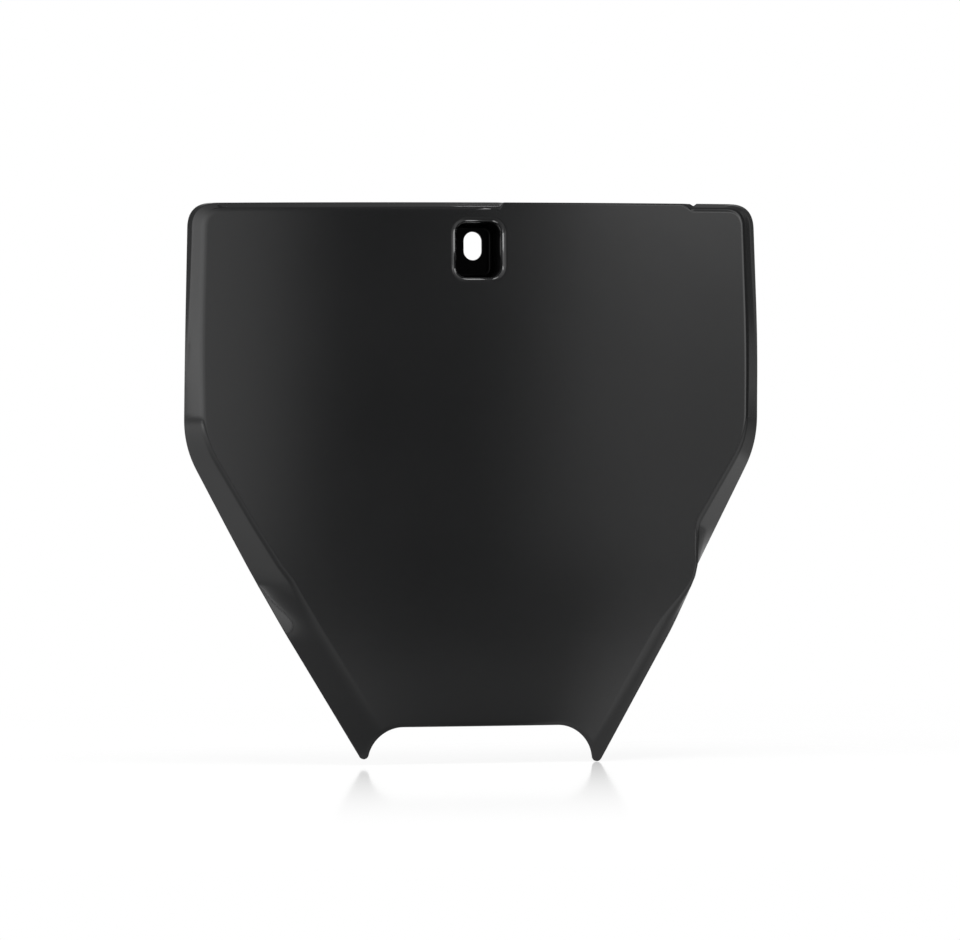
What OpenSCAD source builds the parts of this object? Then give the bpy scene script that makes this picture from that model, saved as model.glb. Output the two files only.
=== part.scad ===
// Racing number board for the front of an off-road motorcycle, moulded in one piece.
// X runs across the board, Y from its face to its back, and Z up. The origin is the centre of the bolt
// slot, at the back of the pocket's floor, where the board sits against its bracket.

/* [Outline] */
// Overall width across the side flanges
board_w = 250; // [235:1:265]
// Height of the top edge above the bolt slot
top_rise = 18.2; // [17:0.1:24]
// Drop from the top edge to the shoulders, where the sides turn inwards
shoulder_drop = 103.5; // [95:0.5:112]
// Drop from the top edge to the knees, where the lower edges turn a little steeper
knee_drop = 182.3; // [176:0.1:190]
// Width across the rims at the knees
knee_w = 168.4; // [155:0.2:180]
// Drop from the top edge to the tip of the shorter prong
prong_drop = 236.6; // [230:0.1:245]
// Width across the lines of the lower edges at that tip
foot_w = 104.7; // [96:0.1:112]
// How far the right-hand prong reaches below the left-hand one
prong_step = 2.4; // [0:0.1:3.5]
// Radius of the left-hand prong's tip
tip_r_left = 2.1; // [1.5:0.1:3]
// Radius of the right-hand prong's tip
tip_r_right = 2.3; // [1.5:0.1:3]
// Height of the cut-out's roof above the shorter prong's tip
cut_rise = 13.5; // [9:0.1:18]
// Radius of the cut-out's corner beside the left-hand prong
cut_r_left = 15.2; // [8:0.1:16.5]
// Radius of the cut-out's corner beside the right-hand prong
cut_r_right = 15.4; // [8:0.1:17]

/* [Face] */
// Radius of the face's bow, about an upright axis
bow_r = 620; // [500:10:900]
// Thickness of the moulding
wall = 2.2; // [1.6:0.1:2.6]

/* [Folded edge] */
// Rise of the top flange from its fold to its rim, at the left-hand end
top_flare_left = 3.1; // [2:0.1:4]
// The same at the right-hand end
top_flare_right = 2.3; // [1.5:0.1:4]
// Width by which the side flanges lean outwards
side_flare = 6.2; // [4:0.1:8]
// The same at the shoulders
shoulder_flare = 6.9; // [5:0.1:9]
// Width by which the left-hand slanting flange leans outwards beside the hose exit
slant_flare_left = 10.2; // [8:0.1:12]
// The same on the right, at the top of the hose exit
slant_flare_right = 11.8; // [10:0.1:12.5]
// The same at the left-hand knee and below
knee_flare = 13.5; // [11:0.1:15]
// Depth of the flange behind the face, along the top
top_depth = 8.2; // [6:0.1:10]
// Depth of the flange halfway down the sides
side_depth = 7.3; // [5:0.1:10]
// Depth of the flange at the shoulders
shoulder_depth = 12.2; // [9:0.1:14]
// Depth of the flange beside the hose exit
exit_depth = 14.3; // [11:0.1:16]
// Depth by which the edge still turns back at the left-hand knee
knee_depth = 5.2; // [3.5:0.1:7]
// The same at the right-hand knee
knee_lip = 4.3; // [3:0.1:6]
// The same at the prong tips
tip_depth = 1.6; // [1:0.1:3]
// How far the crisp fold is rounded, either side of its corner
fold_round = 1.6; // [1:0.1:2.6]
// How far the soft fold from the knees down is rounded
soft_round = 3.5; // [2.5:0.1:5]
// How much higher the fold's line turns at the shoulders than the rim's line
shoulder_lift = 2.5; // [0:0.1:4]
// Reach of the fold's rounding at the top corners, seen from the front
corner_reach = 7.8; // [6:0.1:10]
// Reach of the rim's rounding at the top corners
rim_corner_reach = 10.5; // [8:0.1:13]
// Reach of the rounding at the shoulders
shoulder_reach = 11.5; // [7:0.5:14]

/* [Hose exit] */
// Drop from the top edge to where the right-hand fold turns downwards
exit_drop = 138.5; // [132:0.1:140]
// Height of the upright stretch of that fold
exit_h = 16.7; // [14:0.1:17.5]
// Width by which the flange still leans outwards at the foot of that stretch
exit_flare = 3.2; // [2:0.1:5]
// Rounding of the fold there
exit_round = 1; // [0.6:0.1:2]
// Drop from the top edge to the waist, where the face reaches the board's outline
waist_drop = 161.8; // [160:0.1:163]
// How far the right-hand edge lies inside the rim's line at the waist
waist_inset = 0.7; // [0.3:0.1:2]
// How far the flange's rim comes in above the waist
waist_lift = 3; // [1:0.1:4]
// Depth of the right-hand edge at the waist
waist_lip = 4.8; // [3.4:0.1:6]
// Drop from the top edge to where the right-hand edge is back on the rim's line
merge_drop = 166.5; // [165:0.1:170]
// Depth of the left-hand edge there
merge_depth = 11; // [7:0.1:13]
// Depth of the right-hand edge there
merge_lip = 5.6; // [3.4:0.1:7]
// Width by which the right-hand edge leans outwards from there down
lower_flare = 4.9; // [4:0.1:7]

/* [Cable gap] */
// Distance from the middle to the gap in the top flange
gap_start = 8.4; // [5:0.1:25]
// Width of the gap
gap_w = 84; // [55:0.5:88]
// Depth of the face's plain edge in front of the gap
gap_keep = 3.4; // [3:0.1:4.5]
// How far that edge stays below the top edge
gap_drop = 0.5; // [0.2:0.1:1.5]
// Rounding of that edge
gap_round = 0.8; // [0.5:0.1:1]
// Width over which the flange opens out into it at the inner end
open_inner = 1.9; // [1.5:0.1:3]
// The same at the outer end
open_outer = 4; // [2:0.1:6]

/* [Bolt pocket] */
// Width of the pocket's mouth, inside its rounded lip
mouth_w = 21; // [19:0.1:25]
// Height of the mouth
mouth_h = 25.2; // [23:0.1:27]
// Radius of the mouth's corners
mouth_r = 5; // [4:0.1:7]
// Radius of the lip between the face and the pocket
lip_r = 1.7; // [1:0.1:1.9]
// How far the pocket's middle lies below the bolt slot
pocket_drop = 2.9; // [2:0.1:4]
// Depth of the pocket, from the face to its floor
pocket_depth = 20; // [14:0.5:25]
// Narrowing of the pocket towards its floor, a side
draft = 0.9; // [0.3:0.1:1.4]
// Thickness of the floor round the slot
floor_t = 2.6; // [2.2:0.1:4]
// Width of the bolt slot
slot_w = 8; // [6.5:0.1:8.4]
// Height of the bolt slot, end to end
slot_h = 12.2; // [10:0.1:13]
// Rim of the raised seat round the slot, at the back
seat_rim = 3.4; // [2.5:0.1:3.6]

/* [Locating pegs] */
// Distance between the two pegs on the back
peg_span = 68; // [54:1:76]
// Height of the pegs above the cut-out's roof
peg_rise = 17.1; // [12:0.1:30]
// Diameter of the pegs
peg_d = 8; // [6:0.1:10]
// Length of a peg behind its pad
peg_len = 12; // [8:0.5:16]
// Chamfer at the end of a peg
peg_chamfer = 1; // [0.5:0.1:1.5]
// Width of the pad round the foot of a peg
pad_rim = 3; // [2:0.1:4]
// Height of the pad behind the inside of the face
pad_h = 1.4; // [1:0.1:3]

/* [Hidden] */
$fn = 64;

// Steps over the flange and over the roll of the fold
flat_steps = 2;
roll_steps = 4;
q = flat_steps + roll_steps;
// Steps along the top edge left of the gap and along the gap's plain edge, and across the face
left_steps = 8;
gap_steps = 4;
face_steps = left_steps + gap_steps + 4;
// Least distance that is left of a rounding on the inside of the fold
least_round = 0.4;
// Steps round each bend of a side and along each straight stretch below it, from the top corner down
bend_steps = [6, 2, 4, 2, 2, 2, 2, 2];
run_steps = [2, 2, 2, 2, 1, 1, 1, 4];
// Steps round a corner of the pocket
corner_steps = 6;
// Height of the pocket's lip behind the front of the face, so that their surfaces cross
lip_seat = 0.1;
// Overshoot of a cut past the surface that it opens
over = 1;
// Overlap of a corner's arc with the tip's circle that it runs into
touch = 0.02;

front_y = -(pocket_depth + floor_t);
top_z = top_rise;
gap_end = gap_start + gap_w;
shoulder_z = top_z - shoulder_drop;
side_z = shoulder_z * 0.5;
exit_top_z = top_z - exit_drop;
exit_end_z = exit_top_z - exit_h;
waist_z = top_z - waist_drop;
merge_z = top_z - merge_drop;
knee_z = top_z - knee_drop;
tip_z = top_z - prong_drop;
roof_z = tip_z + cut_rise;
end_z = tip_z - prong_step - 6 * tip_r_right;
peg_z = roof_z + peg_rise;
pocket_z = -pocket_drop;

// Half width of the rims' straight lines, and what they lose for each millimetre down
shoulder_slope = (board_w - knee_w) / 2 / (shoulder_z - knee_z);
foot_slope = (knee_w - foot_w) / 2 / (knee_z - tip_z);
function upper_rim(z) = board_w / 2 - shoulder_slope * (shoulder_z - z);
function lower_rim(z) = knee_w / 2 - foot_slope * (knee_z - z);
// The sides stand a little closer together at the top corners
corner_half = board_w / 2 - 1.9;
side_half = board_w / 2 - 0.25;

// Front surface of the face
function bow(x) = bow_r - sqrt(bow_r * bow_r - x * x);
function face_y(x) = front_y + bow(x);

// Stations of a half outline. Each row is a named place: the fold's corner [x, z], the flange's depth
// behind the face, its rounding on the face's side and on the flange's side, then the rim [x, z].
function folded_row(x, z, flare, depth, round, rim_z) = [x - flare, z, depth, round, round, x, rim_z];
function upper_row(z, flare, depth, round) = folded_row(upper_rim(z), z, flare, depth, round, z);
function lower_row(z, flare, depth, round) = folded_row(lower_rim(z), z, flare, depth, round, z);
function top_rows(flare, slant_flare) = [
  folded_row(0, top_z - (top_flare_left + top_flare_right) / 2, 0, top_depth, fold_round, top_z),
  folded_row(corner_half, top_z - flare, side_flare, top_depth, fold_round, top_z),
  folded_row(side_half, side_z, side_flare, side_depth, fold_round, side_z),
  folded_row(board_w / 2, shoulder_z + shoulder_lift, shoulder_flare, shoulder_depth, fold_round, shoulder_z),
  upper_row(exit_top_z, slant_flare, exit_depth, fold_round)];
left_rows = concat(top_rows(top_flare_left, slant_flare_left), [
  upper_row(exit_end_z, (slant_flare_left + knee_flare) / 2, exit_depth, fold_round),
  upper_row(waist_z, knee_flare, mix(exit_depth, merge_depth, 0.4), fold_round),
  upper_row(merge_z, knee_flare, merge_depth, fold_round),
  lower_row(knee_z, knee_flare, knee_depth, (fold_round + soft_round) / 2),
  lower_row(end_z, knee_flare, tip_depth, soft_round)]);
right_rows = concat(top_rows(top_flare_right, slant_flare_right), [
  upper_row(exit_end_z, exit_flare, exit_depth, exit_round),
  folded_row(upper_rim(waist_z) - waist_inset, waist_z, 0, waist_lip, exit_round, waist_z + waist_lift),
  upper_row(merge_z, lower_flare, merge_lip, fold_round),
  lower_row(knee_z, lower_flare, knee_lip, (fold_round + soft_round) / 2),
  lower_row(end_z, lower_flare, tip_depth, soft_round)]);
// Reach of the rounding at each row but the first and the last, along the fold and along the rim
side_reaches = [18, shoulder_reach, 3, 1.5, 1.5, 3, 5];
fold_reaches = concat(corner_reach, side_reaches);
rim_reaches = concat(rim_corner_reach, side_reaches);

// Point at the share t of the way from a to b
function mix(a, b, t) = a * (1 - t) + b * t;
// Point at the share t round a bend from a to b, whose corner is v
function bend(a, v, b, t) = mix(mix(a, v, t), mix(v, b, t), t);
// Part of a row: the fold with its sizes, or the rim
function fold_of(row) = [for (k = [0 : 4]) row[k]];
function rim_of(row) = [row[5], row[6]];
// The place beside vertex a where its bend meets the straight run towards b
function beside(a, b, reach) = mix(a, b, min(0.5, reach / norm([b[0] - a[0], b[1] - a[1]])));
// Stations of a side below the top edge, from the start of the corner's bend to the foot
function side_stations(v, reaches) = [
  for (i = [1 : len(v) - 2])
    let (a = beside(v[i], v[i - 1], reaches[i - 1]),
         b = beside(v[i], v[i + 1], reaches[i - 1]),
         next = i == len(v) - 2 ? v[i + 1] : beside(v[i + 1], v[i], reaches[i]))
      each concat(
        [for (s = [0 : bend_steps[i - 1] - 1]) bend(a, v[i], b, s / bend_steps[i - 1])],
        [for (s = [0 : run_steps[i - 1] - 1]) mix(b, next, s / run_steps[i - 1])]),
  v[len(v) - 1]
];

function mirrored(p) = [for (k = [0 : len(p) - 1]) k == 0 ? -p[0] : p[k]];
function reversed(v) = [for (k = [len(v) - 1 : -1 : 0]) v[k]];
function half_folds(rows) = side_stations([for (r = rows) fold_of(r)], fold_reaches);
function half_rims(rows) = side_stations([for (r = rows) rim_of(r)], rim_reaches);
left_folds = half_folds(left_rows);
right_folds = half_folds(right_rows);

// Stations along the top edge: with the flange up to the gap, with the plain edge along it, and with the
// flange again at its outer end. Each is [x, height of the fold, depth, rounding, height of the rim].
function flare_at(x) = mix(top_flare_left, top_flare_right, (x + corner_half) / (2 * corner_half));
function flanged(x) = [x, top_z - flare_at(x), top_depth, fold_round, top_z];
function plain(x, z) = [x, z, gap_keep, gap_round, z];
top_stations = concat(
  [for (k = [1 : left_steps]) flanged(mix(-left_folds[0][0], gap_start, k / left_steps))],
  [plain(gap_start + open_inner, top_z)],
  [for (k = [0 : gap_steps])
    plain(mix(gap_start + 2 * open_inner, gap_end - open_outer, k / gap_steps), top_z - gap_drop)],
  [flanged(gap_end)]);
// Stations round the board: up the left side, along the top, and down the right side
spread = corner_half / (corner_half - side_flare);
folds = concat(
  reversed([for (p = left_folds) mirrored(p)]),
  [for (t = top_stations) [t[0], t[1], t[2], t[3], t[3]]],
  right_folds);
rims = concat(
  reversed([for (p = half_rims(left_rows)) mirrored(p)]),
  [for (t = top_stations) [t[0] * spread, t[4]]],
  half_rims(right_rows));
last = len(folds) - 1;
// Rows of the face below its top edge
n = (last - face_steps) / 2;

function unit(v) = v / norm(v);
// Direction into the face at a station, seen from the front
function inward(p) =
  let (a = folds[max(0, p - 1)], b = folds[min(last, p + 1)])
    unit([b[1] - a[1], a[0] - b[0]]);
// Corner of the fold, and rim of the flange, at a station
function corner_at(p) = [folds[p][0], face_y(folds[p][0]), folds[p][1]];
function rim_at(p) = [rims[p][0], face_y(folds[p][0]) + folds[p][2], rims[p][1]];
// Directions into the moulding from its face and from its flange
function face_inward(x) = unit([-x / sqrt(bow_r * bow_r - x * x), 1, 0]);
function flange_inward(p) =
  let (a = max(0, p - 1), b = min(last, p + 1))
    unit(cross(rim_at(p) - corner_at(p), corner_at(b) + rim_at(b) - corner_at(a) - rim_at(a)));
// Section of the folded edge at a station, from its rim to where it runs into the face, e below the outside
function section(p, e) =
  let (f = folds[p], w = inward(p), nf = face_inward(f[0]), nr = flange_inward(p),
       back = e * norm(nf - nr) / norm(nf + nr),
       corner = corner_at(p) + 2 * e * (nf + nr) / ((nf + nr) * (nf + nr)),
       rim = rim_at(p) + e * nr,
       face_leg = max(least_round, f[3] - back),
       flange_leg = min(0.9 * norm(rim - corner), max(least_round, f[4] - back)),
       foot_x = f[0] + w[0] * (back + face_leg),
       foot = [foot_x, face_y(foot_x), f[1] + w[1] * (back + face_leg)] + e * face_inward(foot_x),
       shoulder = corner + flange_leg * unit(rim - corner))
    concat([for (s = [0 : flat_steps - 1]) mix(rim, shoulder, s / flat_steps)],
           [for (s = [0 : roll_steps]) bend(shoulder, corner, foot, s / roll_steps)]);
band = [for (p = [0 : last]) section(p, 0)];

// Points inside the face, row by row below the top edge
function across(i, j) =
  let (a = band[n - i][q], b = band[n + face_steps + i][q], x = mix(a[0], b[0], j / face_steps))
    [x, face_y(x), mix(a[2], b[2], j / face_steps)];

outside = concat([for (p = [0 : last]) each band[p]],
                 [for (i = [1 : n]) for (j = [1 : face_steps - 1]) across(i, j)]);
inside = concat([for (p = [0 : last]) each section(p, wall)],
                [for (i = [1 : n]) for (j = [1 : face_steps - 1])
                  across(i, j) + wall * face_inward(across(i, j)[0])]);
skin = len(outside);

// Numbers of the points in the folded edge and in the face
function band_at(p, k) = p * (q + 1) + k;
function face_at(i, j) =
  j == 0 ? band_at(n - i, q) :
  j == face_steps ? band_at(n + face_steps + i, q) :
  i == 0 ? band_at(n + j, q) :
  (last + 1) * (q + 1) + (i - 1) * (face_steps - 1) + j - 1;
function quad(a, b, c, d) = [[a, b, c], [a, c, d]];
outer_faces = concat(
  [for (p = [0 : last - 1]) for (k = [0 : q - 1])
    each quad(band_at(p, k), band_at(p + 1, k), band_at(p + 1, k + 1), band_at(p, k + 1))],
  [for (i = [0 : n - 1]) for (j = [0 : face_steps - 1])
    each quad(face_at(i, j), face_at(i, j + 1), face_at(i + 1, j + 1), face_at(i + 1, j))]);
inner_faces = [for (f = outer_faces) [f[2] + skin, f[1] + skin, f[0] + skin]];
edge_loop = concat(
  [for (p = [0 : last]) band_at(p, 0)],
  [for (k = [1 : q]) band_at(last, k)],
  [for (j = [face_steps - 1 : -1 : 0]) face_at(n, j)],
  [for (k = [q - 1 : -1 : 1]) band_at(0, k)]);
edge_faces = [for (e = [0 : len(edge_loop) - 1])
  let (a = edge_loop[e], b = edge_loop[(e + 1) % len(edge_loop)])
    each quad(b, a, a + skin, b + skin)];

// The bowed face with its folded edge, still without its openings
module shell() {
  polyhedron(points = concat(outside, inside), faces = concat(outer_faces, inner_faces, edge_faces), convexity = 6);
}

// A flat shape in the front view, drawn from back to front between two values of Y
module through(y0, y1) {
  translate([0, y1, 0]) rotate([90, 0, 0]) linear_extrude(y1 - y0) children();
}

// A shape turned about a line along Y, drawn as [radius, distance from the front]
module turned(x, z) {
  translate([x, 0, z]) rotate([-90, 0, 0]) rotate_extrude() children();
}

// Ring of a rounded rectangle about the pocket's middle, e larger than the mouth on every side
function ring(e, y) = [
  for (c = [0 : 3]) for (s = [0 : corner_steps])
    let (a = 90 * (c + s / corner_steps), r = mouth_r + e,
         cx = (mouth_w / 2 - mouth_r) * (c == 0 || c == 3 ? 1 : -1),
         cz = (mouth_h / 2 - mouth_r) * (c < 2 ? 1 : -1))
      [cx + r * cos(a), y, pocket_z + cz + r * sin(a)]
];
// Solid through a list of such rings, from front to back
module stack(rings) {
  m = len(rings[0]);
  last_ring = len(rings) - 1;
  polyhedron(
    points = [for (r = rings) each r],
    faces = concat(
      [[for (k = [m - 1 : -1 : 0]) k]],
      [[for (k = [0 : m - 1]) last_ring * m + k]],
      [for (i = [0 : last_ring - 1]) for (k = [0 : m - 1])
        each quad(i * m + k, i * m + (k + 1) % m, (i + 1) * m + (k + 1) % m, (i + 1) * m + k)]),
    convexity = 4);
}

// Walls and floor of the pocket, before it is hollowed
module pocket_block() {
  e = wall;
  stack([ring(e, front_y + wall / 2), ring(e - draft, -floor_t / 2), ring(e - draft - floor_t / 4, -floor_t / 4)]);
  through(-floor_t / 2, 0) slot_outline(seat_rim);
}

// Hollow of the pocket, with the rounded lip at its mouth
module pocket_hollow() {
  lip_y = front_y + lip_seat;
  stack(concat(
    [ring(lip_r, front_y - over)],
    [for (a = [0 : 22.5 : 90]) ring(lip_r * (1 - sin(a)), lip_y + lip_r * (1 - cos(a)))],
    [ring(-draft, -floor_t - lip_r / 2), ring(-draft - lip_r / 2, -floor_t)]));
}

// The bolt slot's outline, e larger on every side
module slot_outline(e) {
  r = slot_w / 2 + e;
  reach = (slot_h - slot_w) / 2;
  translate([0, reach]) circle(r);
  translate([0, -reach]) circle(r);
  square([2 * r, 2 * reach], center = true);
}

// The open space under the board between and below the prongs, in the front view. Each corner of the
// cut-out is an arc that touches the prong's round tip.
tip_lean = atan(foot_slope);
module half_cut_out(tip_bottom, tip_r, corner_r) {
  far = 40;
  low = end_z - over;
  tip = [lower_rim(tip_bottom + tip_r) - tip_r / cos(tip_lean), tip_bottom + tip_r];
  corner_z = roof_z - corner_r;
  reach = corner_r + tip_r - touch;
  corner = [tip[0] - sqrt(reach * reach - (tip[1] - corner_z) * (tip[1] - corner_z)), corner_z];
  translate(corner) circle(corner_r);
  translate([0, low]) square([corner[0], roof_z - low]);
  difference() {
    polygon([tip, tip + far * [cos(tip_lean), -sin(tip_lean)], [tip[0] + far, low - far], [corner[0], low - far], corner]);
    translate(tip) circle(tip_r);
  }
}
module cut_out() {
  mirror([1, 0]) half_cut_out(tip_z, tip_r_left, cut_r_left);
  half_cut_out(tip_z - prong_step, tip_r_right, cut_r_right);
}

// One of the pegs that locate the lower end on the fork clamp, with its pad
module peg(x) {
  pad_y = face_y(abs(x) + peg_d / 2 + pad_rim) + wall + pad_h;
  start_y = front_y + wall / 2 + bow(x);
  end_y = pad_y + peg_len;
  r = peg_d / 2;
  turned(x, peg_z)
    polygon([
      [0, start_y], [r + pad_rim, start_y], [r + pad_rim, pad_y], [r, pad_y],
      [r, end_y - peg_chamfer], [r - peg_chamfer, end_y], [0, end_y]]);
}

module number_board() {
  color([0.075, 0.078, 0.082])
  difference() {
    union() {
      shell();
      pocket_block();
      peg(-peg_span / 2);
      peg(peg_span / 2);
    }
    pocket_hollow();
    through(-floor_t - over, over) slot_outline(0);
    through(front_y - over, -front_y) cut_out();
  }
}

number_board();
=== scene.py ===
import bpy
import math
import numpy as np
from mathutils import Matrix, Vector


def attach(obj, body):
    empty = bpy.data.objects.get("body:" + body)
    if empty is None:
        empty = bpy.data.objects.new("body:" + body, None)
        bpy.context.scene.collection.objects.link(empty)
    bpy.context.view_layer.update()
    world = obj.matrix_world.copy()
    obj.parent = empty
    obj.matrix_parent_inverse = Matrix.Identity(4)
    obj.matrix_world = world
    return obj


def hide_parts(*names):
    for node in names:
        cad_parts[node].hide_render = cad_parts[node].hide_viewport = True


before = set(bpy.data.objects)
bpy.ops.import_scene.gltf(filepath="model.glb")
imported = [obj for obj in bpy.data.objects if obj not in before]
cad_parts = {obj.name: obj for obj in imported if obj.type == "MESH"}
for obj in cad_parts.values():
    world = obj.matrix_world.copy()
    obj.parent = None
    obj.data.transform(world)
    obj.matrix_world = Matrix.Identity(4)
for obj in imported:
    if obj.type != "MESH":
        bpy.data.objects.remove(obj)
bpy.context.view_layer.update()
print("frame loaded")

# Lengths below are millimetres and become metres when a mesh is made
millimetre = 0.001


def mix(a, b, t):  # the point at the share t of the way from a to b
    return a * (1 - t) + b * t


def unit(v):
    return v / np.linalg.norm(v, axis=-1, keepdims=True)


def dot(a, b):
    return np.sum(a * b, axis=-1, keepdims=True)


# Sizes of the board. They are the source's, but the shoulder's depth and, on the right, the flares and folds
# from the exit to the knee follow the photograph a little closer here.
board = {
    "width": 250.0, "topZ": 18.2, "shoulderDrop": 103.5, "kneeDrop": 182.3, "kneeWidth": 168.4,
    "prongDrop": 236.6, "footWidth": 104.7, "prongStep": 2.4, "tipLeft": 2.1, "tipRight": 2.3,
    "cutRise": 13.5, "cutLeft": 15.2, "cutRight": 15.4, "cutOverlap": 0.02,
    "bow": 620.0, "wall": 2.2, "frontY": -22.6,
    "topFlareLeft": 3.1, "topFlareRight": 2.3, "sideFlare": 6.2, "shoulderFlare": 6.9,
    "slantLeft": 10.2, "slantRight": 11.8, "kneeFlare": 13.5,
    "topDepth": 8.2, "sideDepth": 7.3, "shoulderDepth": 11.4, "exitDepth": 14.3,
    "kneeDepth": 5.2, "kneeLip": 4.3, "tipDepth": 1.6,
    "fold": 1.6, "softFold": 3.5, "shoulderLift": 2.5,
    "exitDrop": 138.5, "exitHeight": 16.7, "exitFlare": 3.2, "exitFold": 1.5,
    "waistDrop": 161.8, "waistInset": 0.7, "waistLift": 3.0, "waistLip": 4.8,
    "mergeDrop": 166.5, "mergeDepth": 11.0, "mergeLip": 5.6, "lowerFlare": 4.9,
    "waistFlare": 0.4, "mergeFlare": 1.3, "mergeFold": 1.7,
    "cornerInset": 1.9, "sideInset": 0.25,
    "foldReach": [7.8, 18, 11.5, 3, 1.5, 1.5, 3, 5],
    "rimReach": [10.5, 18, 11.5, 3, 1.5, 1.5, 3, 5],
    "bendSteps": [14, 6, 12, 6, 5, 6, 6, 6],
    "runSteps": [14, 6, 8, 5, 2, 1, 4, 26],
    "edgeRound": 0.45,  # of every free edge
    # A side flange bends by so much (radians) in a line so far from its rim, which reaches it at bendLow
    "bendLeft": 0.68, "bendRight": 0.16, "bendAt": 4.4, "bendLow": -48.0, "bendFull": 4.0,
    "bendSoft": 0.01, "bendLeast": 0.01,  # rounding of that line, and its distance from the rim at bendLow
    "leastFold": 0.4,  # left of a fold's rounding on the inside
    "legShare": 0.8,  # of the flange that a fold may take
    "probes": 600,  # places tried down each column for the edge of the cut-out
}
topZ = board["topZ"]
shoulderZ = topZ - board["shoulderDrop"]
kneeZ = topZ - board["kneeDrop"]
tipZ = topZ - board["prongDrop"]
roofZ = tipZ + board["cutRise"]
endZ = tipZ - board["prongStep"] - 6 * board["tipRight"]
shoulderSlope = (board["width"] - board["kneeWidth"]) / 2 / (shoulderZ - kneeZ)
footSlope = (board["kneeWidth"] - board["footWidth"]) / 2 / (kneeZ - tipZ)
cornerHalf = board["width"] / 2 - board["cornerInset"]


def faceY(x):  # the face is part of an upright cylinder
    return board["frontY"] + board["bow"] - np.sqrt(board["bow"] ** 2 - x * x)


def faceInward(x):
    slope = x / np.sqrt(board["bow"] ** 2 - x * x)
    return unit(np.stack([-slope, np.ones_like(x), np.zeros_like(x)], -1))


def upperRim(z):
    return board["width"] / 2 - shoulderSlope * (shoulderZ - z)


def lowerRim(z):
    return board["kneeWidth"] / 2 - footSlope * (kneeZ - z)


# Named places down one side: fold [x, z], depth, rounding on both sides of the fold, rim [x, z]
def foldedRow(x, z, flare, depth, fold, rimZ):
    return [x - flare, z, depth, fold, fold, x, rimZ]


def topRows(topFlare, slantFlare):
    b = board
    halfZ = shoulderZ / 2
    exitZ = topZ - b["exitDrop"]
    return [
        foldedRow(0, topZ - (b["topFlareLeft"] + b["topFlareRight"]) / 2, 0, b["topDepth"], b["fold"], topZ),
        foldedRow(cornerHalf, topZ - topFlare, b["sideFlare"], b["topDepth"], b["fold"], topZ),
        foldedRow(b["width"] / 2 - b["sideInset"], halfZ, b["sideFlare"], b["sideDepth"], b["fold"], halfZ),
        foldedRow(b["width"] / 2, shoulderZ + b["shoulderLift"], b["shoulderFlare"], b["shoulderDepth"],
                  b["fold"], shoulderZ),
        foldedRow(upperRim(exitZ), exitZ, slantFlare, b["exitDepth"], b["fold"], exitZ)]


def sideRows(isLeft):
    b = board
    exitEnd = topZ - b["exitDrop"] - b["exitHeight"]
    waistZ = topZ - b["waistDrop"]
    mergeZ = topZ - b["mergeDrop"]
    halfSoft = (b["fold"] + b["softFold"]) / 2
    if isLeft:
        rows = topRows(b["topFlareLeft"], b["slantLeft"]) + [
            foldedRow(upperRim(exitEnd), exitEnd, (b["slantLeft"] + b["kneeFlare"]) / 2, b["exitDepth"],
                      b["fold"], exitEnd),
            foldedRow(upperRim(waistZ), waistZ, b["kneeFlare"], mix(b["exitDepth"], b["mergeDepth"], 0.4),
                      b["fold"], waistZ),
            foldedRow(upperRim(mergeZ), mergeZ, b["kneeFlare"], b["mergeDepth"], b["fold"], mergeZ),
            foldedRow(lowerRim(kneeZ), kneeZ, b["kneeFlare"], b["kneeDepth"], halfSoft, kneeZ),
            foldedRow(lowerRim(endZ), endZ, b["kneeFlare"], b["tipDepth"], b["softFold"], endZ)]
    else:
        rows = topRows(b["topFlareRight"], b["slantRight"]) + [
            foldedRow(upperRim(exitEnd), exitEnd, b["exitFlare"], b["exitDepth"], b["exitFold"], exitEnd),
            foldedRow(upperRim(waistZ) - b["waistInset"], waistZ, b["waistFlare"], b["waistLip"],
                      b["exitFold"], waistZ + b["waistLift"]),
            foldedRow(upperRim(mergeZ), mergeZ, b["mergeFlare"], b["mergeLip"], b["mergeFold"], mergeZ),
            foldedRow(lowerRim(kneeZ), kneeZ, b["lowerFlare"], b["kneeLip"], b["softFold"], kneeZ),
            foldedRow(lowerRim(endZ), endZ, b["lowerFlare"], b["tipDepth"], b["softFold"], endZ)]
    return np.array(rows, float)


def downSide(places, reaches):
    # Straight runs between the places, joined by parabolic bends that reach so far from each place
    def beside(a, b, reach):
        return mix(a, b, min(0.5, reach / math.hypot(b[0] - a[0], b[1] - a[1])))
    parts = []
    for i, (bends, runs) in enumerate(zip(board["bendSteps"], board["runSteps"]), 1):
        before = beside(places[i], places[i - 1], reaches[i - 1])
        after = beside(places[i], places[i + 1], reaches[i - 1])
        isLast = i == len(places) - 2
        following = places[i + 1] if isLast else beside(places[i + 1], places[i], reaches[i])
        s = np.arange(bends)[:, None] / bends
        t = np.arange(runs)[:, None] / runs
        parts += [mix(mix(before, places[i], s), mix(places[i], after, s), s), mix(after, following, t)]
    return np.vstack(parts + [places[-1:]])


# Stations along the top edge, with the gap that cables pass over
topEdge = {
    "gapStart": 8.4, "gapPlain": 9.9, "notchStart": 88.6, "notchEnd": 92.3, "gapEnd": 92.45,
    "plainDrop": 0.5, "notchDrop": 2.7, "plainDepth": 3.4, "plainFold": 0.7,
    "pocketReach": 13.6, "stepWide": 2.1, "stepFine": 1.7,
}


def spaced(a, b, step):  # values from a towards b without b
    count = max(1, round((b - a) / step))
    return np.linspace(a, b, count + 1)[:-1]


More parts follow.
